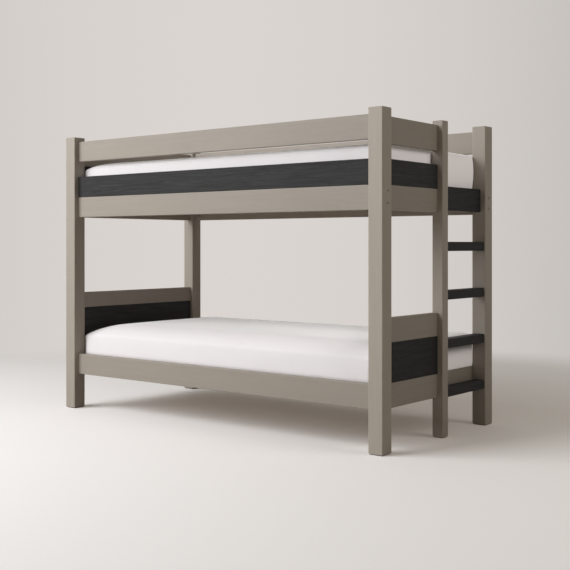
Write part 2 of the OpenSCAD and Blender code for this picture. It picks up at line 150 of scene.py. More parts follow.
class BedTimberSettings(bpy.types.PropertyGroup):
    """Colours and grain of the timber and the fasteners."""

    paint: colour_value("Paint", "Greige paint on posts and rails", (0.335, 0.297, 0.256))
    paint_deep: colour_value("Paint in grain", "Paint where it thins over the grain", (0.312, 0.275, 0.235))
    # Painted light: the posts' paint is made paler than the rails', and the front right post's paler still, where their
    # faces look more lit
    post_gain: share_value("Post paint", "How much paler the posts are than the rails", 1.11, 0.8, 1.4)
    pale_gain: share_value("Front right post painted light", "How much paler the front right post is than the rails", 1.24, 0.8, 1.4)
    stain: colour_value("Stain", "Black stain on the mattress rails, panels and rungs", (0.035, 0.0345, 0.035))
    # Paler stain for the fibres of the grain, and for the painted highlight along eased edges
    stain_worn: colour_value("Stain on fibres", "Stain where raised fibres catch the light", (0.052, 0.051, 0.052))
    # Painted shade: a darker copy of the stain for the rungs and the boards beside them
    deep_gain: share_value("Stain in painted shade", "How much of that colour the rungs and the panels beside them keep", 0.70)
    pine: colour_value("Pine", "Bare planed pine of slats and ledgers", (0.62, 0.44, 0.26))
    pine_late: colour_value("Pine late wood", "Darker rings of the pine", (0.43, 0.26, 0.13))
    beech: colour_value("Beech", "Bare beech dowels", (0.55, 0.38, 0.22))
    zinc: colour_value("Zinc", "Dark zinc on nuts and screws", (0.24, 0.235, 0.23))
    bolt_zinc: colour_value("Bolt zinc", "Paler, warmer zinc on the bed bolts", (0.46, 0.41, 0.35))
    plastic: colour_value("Glide plastic", "Black plastic of the floor glides", (0.022, 0.022, 0.023))
    fibre: length_value("Fibre width", "Width of the finest streaks of the grain", 0.0016, 0.0003, 0.01)
    figure: length_value("Figure width", "Width of the broad bands of the grain", 0.016, 0.002, 0.08)
    # The lighter band along eased edges is a painted highlight
    edge: length_value("Eased edge", "Width of the lighter band along eased edges", 0.004, 0.0, 0.02)


class BedMattressSettings(bpy.types.PropertyGroup):
    """Shape and cover of the mattresses."""

    cover: colour_value("Cover", "White fitted cotton cover", (0.845, 0.812, 0.83))
    cover_deep: colour_value("Cover in folds", "Cover where creases hold a little shade", (0.795, 0.76, 0.78))
    shrink: length_value("Start inside", "How much smaller than its space a mattress starts", 0.003, 0.0, 0.03)
    swell: length_value("Most swelling", "How far the filling may push the cover out", 0.008, 0.001, 0.03)
    spare: length_value("Side room", "How far a cover may stand out of its mattress space", 0.006, 0.0, 0.008)
    bulge: length_value("Bulge", "How far the lower mattress stands out above its side rails", 0.014, 0.0, 0.02)
    base_room: length_value("Base room", "How far its base stands out between the side rails", 0.0085, 0.0, 0.009)
    entry_bulge: length_value("Entry bulge", "How far the upper end swells over the entry board", 0.009, 0.0, 0.012)
    squeeze: length_value("Squeeze", "How much the sides pull in between the posts", 0.0125, 0.0, 0.03)
    voxel: length_value("Mesh step", "Spacing of the cover's points while it is filled", 0.011, 0.004, 0.03)
    pressure: bpy.props.FloatProperty(
        name="Filling pressure", description="Pressure of the filling on the cover", default=4.0, min=0.0, max=20.0
    )
    crown: length_value("Crown", "How much higher the middle of a mattress stands than its rim", 0.004, 0.0, 0.03)
    lower_drop: length_value("Lower drop", "How much lower than its space the lower mattress lies", 0.007, 0.0, 0.03)
    upper_drop: length_value("Upper drop", "How much lower than its space the upper mattress lies", 0.0, 0.0, 0.03)
    corner: length_value("Corner", "Radius of the upright corners", 0.016, 0.005, 0.08)
    upper_rim: length_value("Upper rim", "Radius of the top edges of the upper mattress", 0.012, 0.005, 0.05)
    upper_front_fall: length_value("Upper front fall", "How much its front edge falls", 0.011, 0.0, 0.07)
    upper_front_reach: length_value("Upper front reach", "How far that fall reaches in", 0.35, 0.01, 0.4)
    upper_head_fall: length_value("Upper head fall", "How much its head end falls", 0.036, 0.0, 0.07)
    upper_head_reach: length_value("Upper head reach", "How far that fall reaches in", 0.20, 0.01, 0.4)
    lower_rim: length_value("Lower rim", "Radius of the top edges of the lower mattress", 0.034, 0.005, 0.05)
    lower_front_fall: length_value("Lower front fall", "How much its front edge falls", 0.045, 0.0, 0.07)
    lower_front_reach: length_value("Lower front reach", "How far that fall reaches in", 0.13, 0.01, 0.4)
    lower_head_fall: length_value("Lower head fall", "How much its head end falls", 0.050, 0.0, 0.07)
    lower_head_reach: length_value("Lower head reach", "How far that fall reaches in", 0.30, 0.01, 0.4)
    thread: length_value("Thread spacing", "Spacing of the threads of the cover's weave", 0.0011, 0.0003, 0.004)


class BedStudioSettings(bpy.types.PropertyGroup):
    """Floor, background, lights and camera."""

    floor: colour_value("Floor", "Colour with which the pale floor lights the bed", (0.48, 0.45, 0.41))
    floor_seen: colour_value("Floor as seen", "Colour of the pale floor where it is seen", (0.902, 0.885, 0.89))
    floor_glow: share_value("Floor glow", "Light that the floor adds to its shadows where it is seen", 0.125)
    back: colour_value("Background", "Warm pale grey background", (0.70, 0.662, 0.632))
    key: power_value("Key light", "Power of the large soft light at the front left", 385.0)
    side: power_value("Side light", "Power of the soft light on the ladder end", 24.5)
    soft: power_value("Mattress light", "Power of the soft light that only the mattresses receive", 50.0)
    fill: share_value("Fill", "Strength of the soft light from all round", 0.13, 0.0, 2.0)
    fill_way: bpy.props.FloatVectorProperty(
        name="Fill direction", description="Way from which more of the soft light comes",
        default=(-0.45, -0.6, 0.35), subtype="XYZ",
    )
    lens: bpy.props.FloatProperty(
        name="Lens", description="Focal length in millimetres", default=63.54, min=10.0, unit="CAMERA"
    )
    eye: bpy.props.FloatVectorProperty(
        name="Camera place", description="Where the camera stands", default=(3.460, -4.197, 0.923), subtype="XYZ",
        unit="LENGTH",
    )
    heading: bpy.props.FloatProperty(
        name="Camera heading", description="Turn of the level camera about the vertical",
        default=math.radians(38.78), subtype="ANGLE",
    )


# Node trees


class Wiring:
    """Adds nodes to one tree and joins them."""

    def __init__(self, tree):
        self.tree = tree

    def add(self, kind, inputs=None, **settings):
        node = self.tree.nodes.new(kind)
        for key, value in settings.items():
            setattr(node, key, value)
        for key, value in (inputs or {}).items():
            self.put(node.inputs[key], value)
        return node

    def put(self, socket, value):
        if isinstance(value, bpy.types.NodeSocket):
            self.tree.links.new(value, socket)
        else:
            socket.default_value = value

    def math(self, operation, first, second=0.0, clamp=False):
        return self.add("ShaderNodeMath", {0: first, 1: second}, operation=operation, use_clamp=clamp).outputs[0]

    def range(self, value, low, high, to_low=0.0, to_high=1.0, smooth=False):
        kind = "SMOOTHSTEP" if smooth else "LINEAR"
        values = {"Value": value, "From Min": low, "From Max": high, "To Min": to_low, "To Max": to_high}
        return self.add("ShaderNodeMapRange", values, interpolation_type=kind).outputs[0]

    def blend(self, share, first, second):
        node = self.add("ShaderNodeMix", data_type="RGBA")
        self.put(node.inputs[0], share)
        self.put(node.inputs[6], first)
        self.put(node.inputs[7], second)
        return node.outputs[2]

    def vector(self, operation, first, second=None):
        """A calculation with vectors: a number for DOT_PRODUCT and LENGTH, otherwise a vector."""
        node = self.add("ShaderNodeVectorMath", {0: first}, operation=operation)
        if second is not None:
            self.put(node.inputs["Scale" if operation == "SCALE" else 1], second)
        return node.outputs["Value" if operation in ("DOT_PRODUCT", "LENGTH") else "Vector"]

    def stretched(self, position, x, y, z):
        """The position in units of the three lengths, so that a texture of scale 1 is that long each way."""
        sizes = self.add("ShaderNodeCombineXYZ", {0: x, 1: y, 2: z}).outputs[0]
        return self.vector("DIVIDE", position, sizes)

    def mean(self, first, second, share):
        """Two numbers added up, with this share of the first and the rest of the second."""
        return self.math("ADD", self.math("MULTIPLY", first, share), self.math("MULTIPLY", second, 1 - share))

    def noise(self, position, scale=1.0, detail=2.0, roughness=0.5):
        values = {"Vector": position, "Scale": scale, "Detail": detail, "Roughness": roughness}
        return self.add("ShaderNodeTexNoise", values).outputs[0]


def new_group(name, inputs, outputs):
    """An empty shader node group, its wiring, its inputs by name and its output node."""
    tree = bpy.data.node_groups.new(name, "ShaderNodeTree")
    for label, kind, value in inputs:
        socket = tree.interface.new_socket(name=label, in_out="INPUT", socket_type="NodeSocket" + kind)
        if value is not None:
            socket.default_value = value
    for label, kind in outputs:
        tree.interface.new_socket(name=label, in_out="OUTPUT", socket_type="NodeSocket" + kind)
    wiring = Wiring(tree)
    return wiring, wiring.add("NodeGroupInput").outputs, wiring.add("NodeGroupOutput")


def timber_grain(name):
    """Grain of sawn timber whose length runs along X: fine fibres, broad figure, open pores, and their relief."""
    w, given, out = new_group(
        name,
        [("Position", "Vector", None), ("Fibre Width", "Float", 0.0016), ("Figure Width", "Float", 0.016)],
        [("Fibre", "Float"), ("Figure", "Float"), ("Pores", "Float"), ("Tone", "Float"), ("Height", "Float")],
    )
    place, fibre_w, figure_w = given["Position"], given["Fibre Width"], given["Figure Width"]
    # A slow drift bends all streaks alike, so that they don't run dead straight
    drift = w.noise(w.stretched(place, 0.7, 0.12, 0.12), detail=1.0)
    drift = w.math("MULTIPLY", w.math("SUBTRACT", drift, 0.5), 0.05)
    bend = w.add("ShaderNodeCombineXYZ", {0: 0.0, 1: drift, 2: drift}).outputs[0]
    place = w.vector("ADD", place, bend)

    def streaks(width, length, detail, roughness=0.5):
        """Noise in streaks of this width, and this many times as long."""
        return w.noise(w.stretched(place, w.math("MULTIPLY", width, length), width, width), 1.0, detail, roughness)

    fibre = streaks(fibre_w, 90.0, 3.0, 0.62)
    figure = streaks(figure_w, 26.0, 4.0, 0.58)
    pores = w.range(streaks(w.math("MULTIPLY", fibre_w, 0.55), 26.0, 1.0), 0.60, 0.74)
    tone = w.noise(w.stretched(place, 0.9, 0.25, 0.25), detail=2.0)
    fibre, figure = w.range(fibre, 0.3, 0.7), w.range(figure, 0.3, 0.7)
    relief = w.math("SUBTRACT", w.mean(fibre, figure, 0.55), w.math("MULTIPLY", pores, 0.6))
    for label, value in zip(("Fibre", "Figure", "Pores", "Tone", "Height"), (fibre, figure, pores, tone, relief)):
        w.put(out.inputs[label], value)
    return w.tree


def eased_edge(name):
    """A mask of the eased edges of a board, for a painted highlight where the edge catches the light, broken up in
    patches.
    """
    w, given, out = new_group(
        name, [("Position", "Vector", None), ("Width", "Float", 0.004), ("Break Up", "Float", 0.4)], [("Edge", "Float")]
    )
    rounded = w.add("ShaderNodeBevel", {"Radius": given["Width"]}, samples=6).outputs[0]
    flat = w.add("ShaderNodeNewGeometry").outputs["Normal"]
    edge = w.range(w.vector("DOT_PRODUCT", rounded, flat), 0.995, 0.86, smooth=True)
    patch = w.range(w.noise(given["Position"], 14.0, 3.0), 0.35, 0.65)
    kept = w.math("SUBTRACT", 1.0, w.math("MULTIPLY", given["Break Up"], patch))
    w.put(out.inputs["Edge"], w.math("MULTIPLY", edge, kept, clamp=True))
    return w.tree


def cotton_weave(name):
    """Plain weave of a cotton cover, with slubs: a tint and a relief."""
    w, given, out = new_group(
        name, [("Position", "Vector", None), ("Thread", "Float", 0.0011)], [("Tint", "Float"), ("Height", "Float")]
    )
    parts = w.add("ShaderNodeSeparateXYZ", {0: given["Position"]}).outputs
    turns = w.math("DIVIDE", 2 * math.pi, given["Thread"])
    x, y, z = (w.math("SINE", w.math("MULTIPLY", parts[i], turns)) for i in range(3))
    weave = w.math("ADD", w.math("MULTIPLY", x, y), w.math("ADD", w.math("MULTIPLY", y, z), w.math("MULTIPLY", x, z)))
    weave = w.range(weave, -1.0, 1.0)
    slub = w.noise(w.stretched(given["Position"], 0.06, 0.0022, 0.0022), detail=2.0)
    slub_across = w.noise(w.stretched(given["Position"], 0.0022, 0.06, 0.06), detail=2.0)
    slubs = w.range(w.math("MAXIMUM", slub, slub_across), 0.55, 0.8)
    w.put(out.inputs["Tint"], w.mean(weave, slubs, 0.4))
    w.put(out.inputs["Height"], w.math("ADD", w.math("MULTIPLY", weave, 0.6), w.math("MULTIPLY", slubs, 0.5)))
    return w.tree


def new_material(name, look):
    """A material with one Principled shader: its wiring, the shader, and the piece's own coordinates."""
    material = bpy.data.materials.new(name)
    material.use_nodes = True
    material.diffuse_color = (*look, 1.0)
    w = Wiring(material.node_tree)
    shader = material.node_tree.nodes["Principled BSDF"]
    place = w.add("ShaderNodeTexCoord").outputs["Object"]
    return material, w, shader, place


def use_group(w, build, values):
    """Places a node group, built on its first use, in a material with this finish's own values."""
    name = build.__name__.replace("_", " ").title()
    node = w.add("ShaderNodeGroup", node_tree=bpy.data.node_groups.get(name) or build(name))
    for label, value in values.items():
        w.put(node.inputs[label], value)
    return node.outputs


def grain_of(w, place, turn, fibre, figure):
    """The grain group, turned so that the streaks run along the board."""
    turned = w.add("ShaderNodeMapping", {"Vector": place, "Rotation": turn}).outputs[0]
    return use_group(w, timber_grain, {"Position": turned, "Fibre Width": fibre, "Figure Width": figure})


def bump(w, shader, height, strength, distance):
    """Turns a relief into the shader's normal."""
    values = {"Height": height, "Strength": strength, "Distance": distance}
    w.put(shader.inputs["Normal"], w.add("ShaderNodeBump", values).outputs[0])


def rgba(colour, gain=1.0):
    """A colour for a node's socket, made this much paler."""
    return (*(min(1.0, part * gain) for part in colour), 1.0)


def paint_finish(settings, way, turn, gain=1.0):
    """Matt greige paint through which the grain shows faintly, with a painted highlight along its eased edges; a gain
    above 1 makes a paler copy, which is painted light.
    """
    material, w, shader, place = new_material("Greige paint, " + way, settings.paint)
    grain = grain_of(w, place, turn, settings.fibre, settings.figure)
    edge = use_group(w, eased_edge, {"Position": place, "Width": settings.edge})["Edge"]
    streaks = w.mean(grain["Fibre"], grain["Figure"], 0.5)
    colour = w.blend(streaks, rgba(settings.paint_deep, gain), rgba(settings.paint, gain * 1.05))
    tone = w.range(grain["Tone"], 0.35, 0.65)
    colour = w.blend(w.math("MULTIPLY", tone, 0.35), colour, rgba(settings.paint, gain * 0.93))
    colour = w.blend(w.math("MULTIPLY", grain["Pores"], 0.22), colour, rgba(settings.paint_deep, gain * 0.8))
    # Painted highlight: the eased edges paler than the rest of the paint
    colour = w.blend(w.math("MULTIPLY", edge, 0.35), colour, rgba(settings.paint, gain * 1.3))
    w.put(shader.inputs["Base Color"], colour)
    w.put(shader.inputs["Roughness"], w.range(streaks, 0.0, 1.0, 0.56, 0.46))
    shader.inputs["Specular IOR Level"].default_value = 0.35
    bump(w, shader, grain["Height"], 0.35, 0.0004)
    return material


def stain_finish(settings, way, turn, gain=1.0):
    """Black stain with the fibres of the timber standing out, and a painted highlight along its eased edges; a gain
    below 1 makes a darker copy, which is painted shade.
    """
    material, w, shader, place = new_material("Black stain, " + way, settings.stain)
    grain = grain_of(w, place, turn, settings.fibre * 1.3, settings.figure * 0.6)
    edge = use_group(w, eased_edge, {"Position": place, "Width": settings.edge})["Edge"]
    streaks = w.mean(grain["Fibre"], grain["Figure"], 0.55)
    colour = w.blend(streaks, rgba(settings.stain, gain * 0.6), rgba(settings.stain_worn, gain * 1.1))
    colour = w.blend(w.math("MULTIPLY", grain["Pores"], 0.5), colour, rgba(settings.stain, gain * 0.4))
    # Painted highlight: the eased edges paler than the rest of the stain
    colour = w.blend(w.math("MULTIPLY", edge, 0.3), colour, rgba(settings.stain_worn, gain * 1.4))
    w.put(shader.inputs["Base Color"], colour)
    w.put(shader.inputs["Roughness"], w.range(streaks, 0.0, 1.0, 0.62, 0.48))
    shader.inputs["Specular IOR Level"].default_value = 0.1
    bump(w, shader, grain["Height"], 0.7, 0.0006)
    return material


def pine_finish(settings, way, turn):
    """Bare planed pine."""
    material, w, shader, place = new_material("Bare pine, " + way, settings.pine)
    grain = grain_of(w, place, turn, settings.fibre * 1.5, settings.figure * 0.8)
    colour = w.blend(grain["Figure"], rgba(settings.pine, 1.08), rgba(settings.pine_late))
    colour = w.blend(w.math("MULTIPLY", grain["Fibre"], 0.35), colour, rgba(settings.pine, 0.8))
    w.put(shader.inputs["Base Color"], colour)
    w.put(shader.inputs["Roughness"], w.range(grain["Fibre"], 0.0, 1.0, 0.7, 0.55))
    bump(w, shader, grain["Height"], 0.4, 0.0004)
    return material


def beech_finish(settings, way, turn):
    """Bare beech dowel with short dark flecks."""
    material, w, shader, place = new_material("Bare beech, " + way, settings.beech)
    grain = grain_of(w, place, turn, settings.fibre * 0.6, settings.figure * 0.25)
    colour = w.blend(w.math("MULTIPLY", grain["Figure"], 0.5), rgba(settings.beech, 1.05), rgba(settings.beech, 0.8))
    colour = w.blend(w.math("MULTIPLY", grain["Pores"], 0.6), colour, rgba(settings.beech, 0.5))
    w.put(shader.inputs["Base Color"], colour)
    w.put(shader.inputs["Roughness"], w.range(grain["Fibre"], 0.0, 1.0, 0.66, 0.54))
    bump(w, shader, grain["Height"], 0.3, 0.0003)
    return material


def zinc_finish(name, zinc):
    """Zinc plated steel with a faint cloudy bloom."""
    material, w, shader, place = new_material(name, zinc)
    cloud = w.noise(place, 180.0, 3.0)
    w.put(shader.inputs["Base Color"], w.blend(w.range(cloud, 0.35, 0.65), rgba(zinc, 0.82), rgba(zinc, 1.1)))
    w.put(shader.inputs["Roughness"], w.range(cloud, 0.3, 0.7, 0.42, 0.3))
    shader.inputs["Metallic"].default_value = 1.0
    bump(w, shader, w.noise(place, 900.0, 2.0), 0.2, 0.0001)
    return material


def cap_finish(settings):
    """Moulded caps in the colour of the posts, with painted light half way between that of the front right post and
    that of the others.
    """
    material, w, shader, place = new_material("Greige caps", settings.paint)
    speckle = w.noise(place, 600.0, 2.0)
    gain = (settings.post_gain + settings.pale_gain) / 2
    w.put(shader.inputs["Base Color"], w.blend(speckle, rgba(settings.paint_deep, gain), rgba(settings.paint, gain)))
    w.put(shader.inputs["Roughness"], w.range(speckle, 0.3, 0.7, 0.55, 0.48))
    bump(w, shader, speckle, 0.15, 0.0001)
    return material


def glide_finish(settings):
    """Moulded black plastic, scuffed near the floor."""
    material, w, shader, place = new_material("Black glides", settings.plastic)
    speckle = w.noise(place, 450.0, 3.0)
    scuff = w.range(w.noise(w.stretched(place, 0.02, 0.02, 0.001), detail=2.0), 0.5, 0.7)
    colour = w.blend(w.math("MULTIPLY", scuff, 0.5), rgba(settings.plastic), rgba(settings.plastic, 2.2))
    w.put(shader.inputs["Base Color"], colour)
    w.put(shader.inputs["Roughness"], w.range(speckle, 0.3, 0.7, 0.5, 0.62))
    bump(w, shader, speckle, 0.3, 0.0001)
    return material


def cover_finish(settings):
    """Smooth white fitted cotton."""
    material, w, shader, place = new_material("White cotton cover", settings.cover)
    weave = use_group(w, cotton_weave, {"Position": place, "Thread": settings.thread})
    soft = w.range(w.noise(w.stretched(place, 0.35, 0.22, 0.12), detail=3.0), 0.35, 0.65)
    # Painted shade: broad soft patches darker, for the shade that creases hold
    colour = w.blend(w.math("MULTIPLY", soft, 0.35), rgba(settings.cover), rgba(settings.cover_deep))
    colour = w.blend(w.math("MULTIPLY", weave["Tint"], 0.12), colour, rgba(settings.cover_deep))
    w.put(shader.inputs["Base Color"], colour)
    w.put(shader.inputs["Roughness"], w.range(weave["Tint"], 0.0, 1.0, 0.82, 0.72))
    shader.inputs["Specular IOR Level"].default_value = 0.3
    shader.inputs["Sheen Weight"].default_value = 1.0
    shader.inputs["Sheen Roughness"].default_value = 0.5
    creases = w.noise(w.stretched(place, 0.09, 0.03, 0.16), detail=3.0, roughness=0.55)
    relief = w.math("ADD", w.math("MULTIPLY", creases, 8.0), weave["Height"])
    bump(w, shader, relief, 0.35, 0.0004)
    return material


def give(material, nodes):
    """Puts a finish on CAD nodes."""
    for name in nodes:
        for slot in CAD[name].material_slots:
            slot.material = material


def add_object(name, data):
    """A new object in the scene."""
    added = bpy.data.objects.new(name, data)
    bpy.context.scene.collection.objects.link(added)
    return added


def add_mesh(name, mesh):
    """A new object from a finished bmesh, which is freed."""
    data = bpy.data.meshes.new(name)
    mesh.to_mesh(data)
    mesh.free()
    return add_object(name, data)


# Mattresses


def block_mesh(low, high, corner, top, base):
    """A block with round upright corners and round top and bottom edges."""
    mesh = bmesh.new()
    size = high - low
    bmesh.ops.create_cube(mesh, size=1.0)
    for vertex in mesh.verts:
        vertex.co = Vector((vertex.co[i] * size[i] + (low[i] + high[i]) / 2 for i in range(3)))
    upright = [e for e in mesh.edges if abs(e.verts[0].co.z - e.verts[1].co.z) > size.z / 2]
    bmesh.ops.bevel(mesh, geom=upright, offset=corner, segments=CORNER_STEPS, affect="EDGES", profile=0.5)
    for level, radius in ((high.z, top), (low.z, base)):
        rim = [
            e for e in mesh.edges
            if all(abs(v.co.z - level) < LEVEL_GAP for v in e.verts)
            and any(abs(f.normal.z) < SIDE_FACING for f in e.link_faces)
        ]
        bmesh.ops.bevel(mesh, geom=rim, offset=radius, segments=RIM_STEPS, affect="EDGES", profile=0.5)
    return mesh


def fill_cover(piece, settings):
    """Fills the cover by cloth simulation: the filling pushes it out, and the swelling is capped."""
    start = [vertex.co.copy() for vertex in piece.data.vertices]
    base = min(place.z for place in start) + settings.voxel * BASE_LAYER
    cloth = piece.modifiers.new("Filling", "CLOTH")
    cloth.settings.use_pressure = True
    cloth.settings.uniform_pressure_force = settings.pressure
    cloth.settings.effector_weights.gravity = 0.0
    cloth.settings.quality = 5
    cloth.settings.mass = 0.3
    cloth.settings.tension_stiffness = 20.0
    cloth.settings.compression_stiffness = 20.0
    cloth.settings.bending_stiffness = 2.0
    cloth.point_cache.frame_start, cloth.point_cache.frame_end = 1, FILL_FRAMES
    scene = bpy.context.scene
    for step in range(1, FILL_FRAMES + 1):
        scene.frame_set(step)
    graph = bpy.context.evaluated_depsgraph_get()
    filled = [vertex.co.copy() for vertex in piece.evaluated_get(graph).data.vertices]
    piece.modifiers.remove(cloth)
    scene.frame_set(1)
    normals = [vertex.normal.copy() for vertex in piece.data.vertices]
    for vertex, before, after, normal in zip(piece.data.vertices, start, filled, normals):
        if before.z < base:
            vertex.co = before
            continue
        push = after - before
        if push.length > settings.swell:
            push = push * (settings.swell / push.length)
        # The filling may draw a point in by a third of the shrinkage at most
        sunk = min(0.0, push.dot(normal) + settings.shrink / 3)
        vertex.co = before + push - normal * sunk


def clamp(value):
    """The value, kept from 0 to 1."""
    return min(1.0, max(0.0, value))


def ease(value):
    """A smooth step from 0 to 1."""
    value = clamp(value)
    return value * value * (3 - 2 * value)


def fade(distance, reach):
    """1 at a distance of nothing, falling ever more slowly to 0 at the reach."""
    return max(0.0, 1 - max(0.0, distance) / reach) ** 2


def shape_of(settings, node):
    """The rim, falls and reaches of one mattress, by name."""
    berth = node.split("_")[0] + "_"
    names = ("rim", "drop", "front_fall", "front_reach", "head_fall", "head_reach")
    return {name: getattr(settings, berth + name) for name in names}


def entry_share(place, top, board):
    """How much of the entry bulge a point takes: all of it at the end, half way up, beside the ladder post."""
    beside = ease((place.y - board[0].y) / ENTRY_EASE)
    level = clamp((place.z - board[1].z) / (top.z - board[1].z))
    return beside * math.sin(math.pi * level) * fade(top.x - place.x, ENTRY_REACH)


def settle_cover(piece, node, settings):
    """Rounds the top towards its edges, rests the base on the slats, and keeps the cover inside its frame."""
    low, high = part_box(node)
    middle, half = (low + high) / 2, (high - low) / 2
    shape, board, upper = shape_of(settings, node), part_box("entry_board"), node == "upper_mattress"
    for vertex in piece.data.vertices:
        place = vertex.co
        share = max(0.0, (place.z - low.z) / (high.z - low.z))
        rise_along = max(0.0, 1 - ((place.x - middle.x) / half.x) ** 4)
        rise_across = max(0.0, 1 - ((place.y - middle.y) / half.y) ** 2)
        front = shape["front_fall"] * fade(place.y - low.y, shape["front_reach"])
        head = shape["head_fall"] * fade(place.x - low.x, shape["head_reach"])
        fall = shape["drop"] + math.hypot(front, head)
        level = place.z + settings.crown * rise_along * rise_across * share - fall * share ** 2
        if place.z < low.z + settings.voxel * BASE_LAYER:
            place.z, hold, side_room = low.z, 1.0, settings.base_room
        else:
            place.z, hold, side_room = max(low.z, level), WALL_HOLD * max(0.0, 1 - share ** WALL_FADE), settings.bulge
        room = [settings.spare, side_room]
        if upper:
            entry = settings.entry_bulge * entry_share(place, high, board)
            place.x += entry
            room = [settings.spare + entry, settings.spare]
        keep_inside(place, middle, half, hold, room, settings)


def keep_inside(place, middle, half, hold, room, settings):
    """Holds a point of the cover within its berth: between the posts at the ends, a little wider elsewhere."""
    sides = [1 if place[i] > middle[i] else -1 for i in range(2)]
    along, across = (abs(place[i] - middle[i]) for i in range(2))
    near_post = ease((along - half[0] + POST_REACH) / POST_EASE)
    limits = half[0] + room[0], half[1] + room[1] - near_post * (room[1] + settings.squeeze)
    # The sides go out towards their limits, all the way at the base and ever less higher up
    wall = ease((across - half[1] + WALL_REACH) / WALL_EASE)
    inset = [max(0.0, limits[0] - along), max(0.0, (limits[1] - across) * (1 - hold * wall))]
    if max(inset) < settings.corner:
        out = [settings.corner - part for part in inset]
        length = math.hypot(*out)
        if length > settings.corner:
            inset = [settings.corner - part * settings.corner / length for part in out]
    for i in range(2):
        place[i] = middle[i] + sides[i] * (limits[i] - inset[i])


def even_out(piece):
    """Evens out the small waves that the filling leaves on the top, and keeps the base's edge square."""
    mesh = bmesh.new()
    mesh.from_mesh(piece.data)
    top = [vertex for vertex in mesh.verts if vertex.normal.z > EVEN_FACING]
    for _ in range(EVEN_ROUNDS):
        bmesh.ops.smooth_vert(mesh, verts=top, factor=EVEN_SHARE, use_axis_z=True)
    crease = mesh.edges.layers.float.new("crease_edge")
    base = min(vertex.co.z for vertex in mesh.verts) + LEVEL_GAP
    for edge in mesh.edges:
        if max(vertex.co.z for vertex in edge.verts) < base:
            edge[crease] = float(any(vertex.co.z > base for face in edge.link_faces for vertex in face.verts))
    mesh.to_mesh(piece.data)
    mesh.free()


def make_mattress(node, settings, material):
    """One mattress in its cover, in place of the CAD's plain block."""
    low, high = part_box(node)
    inset = Vector((settings.shrink, settings.shrink, 0.0))
    rim = shape_of(settings, node)["rim"]
    piece = add_mesh(node + "_cover", block_mesh(low + inset, high - inset, settings.corner, rim, BASE_RADIUS))
    grid = piece.modifiers.new("Even mesh", "REMESH")
    grid.mode, grid.voxel_size = "VOXEL", settings.voxel
    graph = bpy.context.evaluated_depsgraph_get()
    block, piece.data = piece.data, bpy.data.meshes.new_from_object(piece.evaluated_get(graph))
    piece.modifiers.remove(grid)
    bpy.data.meshes.remove(block)
    piece.data.name = piece.name
    fill_cover(piece, settings)
    settle_cover(piece, node, settings)
    even_out(piece)
    for face in piece.data.polygons:
        face.use_smooth = True
    soft = piece.modifiers.new("Soft", "SUBSURF")
    soft.levels = soft.render_levels = 1
    piece.data.materials.clear()
    piece.data.materials.append(material)
    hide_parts(node)
    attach(piece, node)


# Studio


def backdrop_colour(name):
    """The background's colour by direction: a little brighter ahead on the left, darker to the right."""
    w, given, out = new_group(
        name, [("Direction", "Vector", None), ("Colour", "Color", (0.66, 0.62, 0.59, 1.0))], [("Colour", "Color")]
    )
    off = w.math("ADD", w.vector("DOT_PRODUCT", given["Direction"], RIGHTWARD), PALEST)
    gain = w.math("SUBTRACT", 1.0, w.math("MULTIPLY", w.math("MULTIPLY", off, off), DARKENING))
    gain = w.math("MAXIMUM", gain, DARKEST)
    w.put(out.inputs["Colour"], w.vector("SCALE", given["Colour"], gain))
    return w.tree


def seen_rays(w):
    """1 where a ray shows a surface or the sky, directly, mirrored or through glass, and 0 where it only lights."""
    rays = w.add("ShaderNodeLightPath").outputs
    indirect = w.math("MAXIMUM", rays["Is Glossy Ray"], rays["Is Transmission Ray"])
    return w.math("MAXIMUM", rays["Is Camera Ray"], indirect)


def build_floor(settings):
    """A large pale floor that turns into the background further out."""
    mesh = bmesh.new()
    bmesh.ops.create_grid(mesh, x_segments=8, y_segments=8, size=FLOOR_HALF)
    floor = add_mesh("studio_floor", mesh)
    material, w, shader, place = new_material("Studio floor", settings.floor)
    grit = w.noise(place, 30.0, 4.0)
    w.put(shader.inputs["Base Color"], w.blend(grit, rgba(settings.floor, 0.985), rgba(settings.floor, 1.01)))
    shader.inputs["Roughness"].default_value = 0.75
    shader.inputs["Specular IOR Level"].default_value = 0.2
    # The background's colours fan out from a place in front of the bed, and meet softly round that place
    off = w.vector("SUBTRACT", place, FAN_CENTRE)
    shorten = w.math("DIVIDE", 1.0, w.math("MAXIMUM", w.vector("LENGTH", off), FAN_CORE))
    way = w.vector("SCALE", off, shorten)
    far = use_group(w, backdrop_colour, {"Direction": way, "Colour": rgba(settings.back)})["Colour"]
    glow = w.add("ShaderNodeEmission", {"Color": far}).outputs[0]
    share = w.range(w.vector("LENGTH", place), FLOOR_NEAR, FLOOR_FAR, smooth=True)
    # Where it is seen, the floor is paler than where it lights the bed, and its shadows are warmer
    seen = seen_rays(w)
    lift = [whole - part for whole, part in zip(settings.floor_seen, settings.floor)]
    more = w.add("ShaderNodeBsdfDiffuse", {"Color": w.vector("SCALE", lift, seen)}).outputs[0]
    near = w.add("ShaderNodeAddShader", {0: shader.outputs[0], 1: more}).outputs[0]
    haze = w.add("ShaderNodeEmission", {"Color": FLOOR_HAZE, "Strength": w.math("MULTIPLY", seen, settings.floor_glow)})
    near = w.add("ShaderNodeAddShader", {0: near, 1: haze.outputs[0]}).outputs[0]
    mix = w.add("ShaderNodeMixShader", {0: w.math("MULTIPLY", share, seen), 1: near, 2: glow})
    w.put(w.tree.nodes["Material Output"].inputs["Surface"], mix.outputs[0])
    floor.data.materials.append(material)


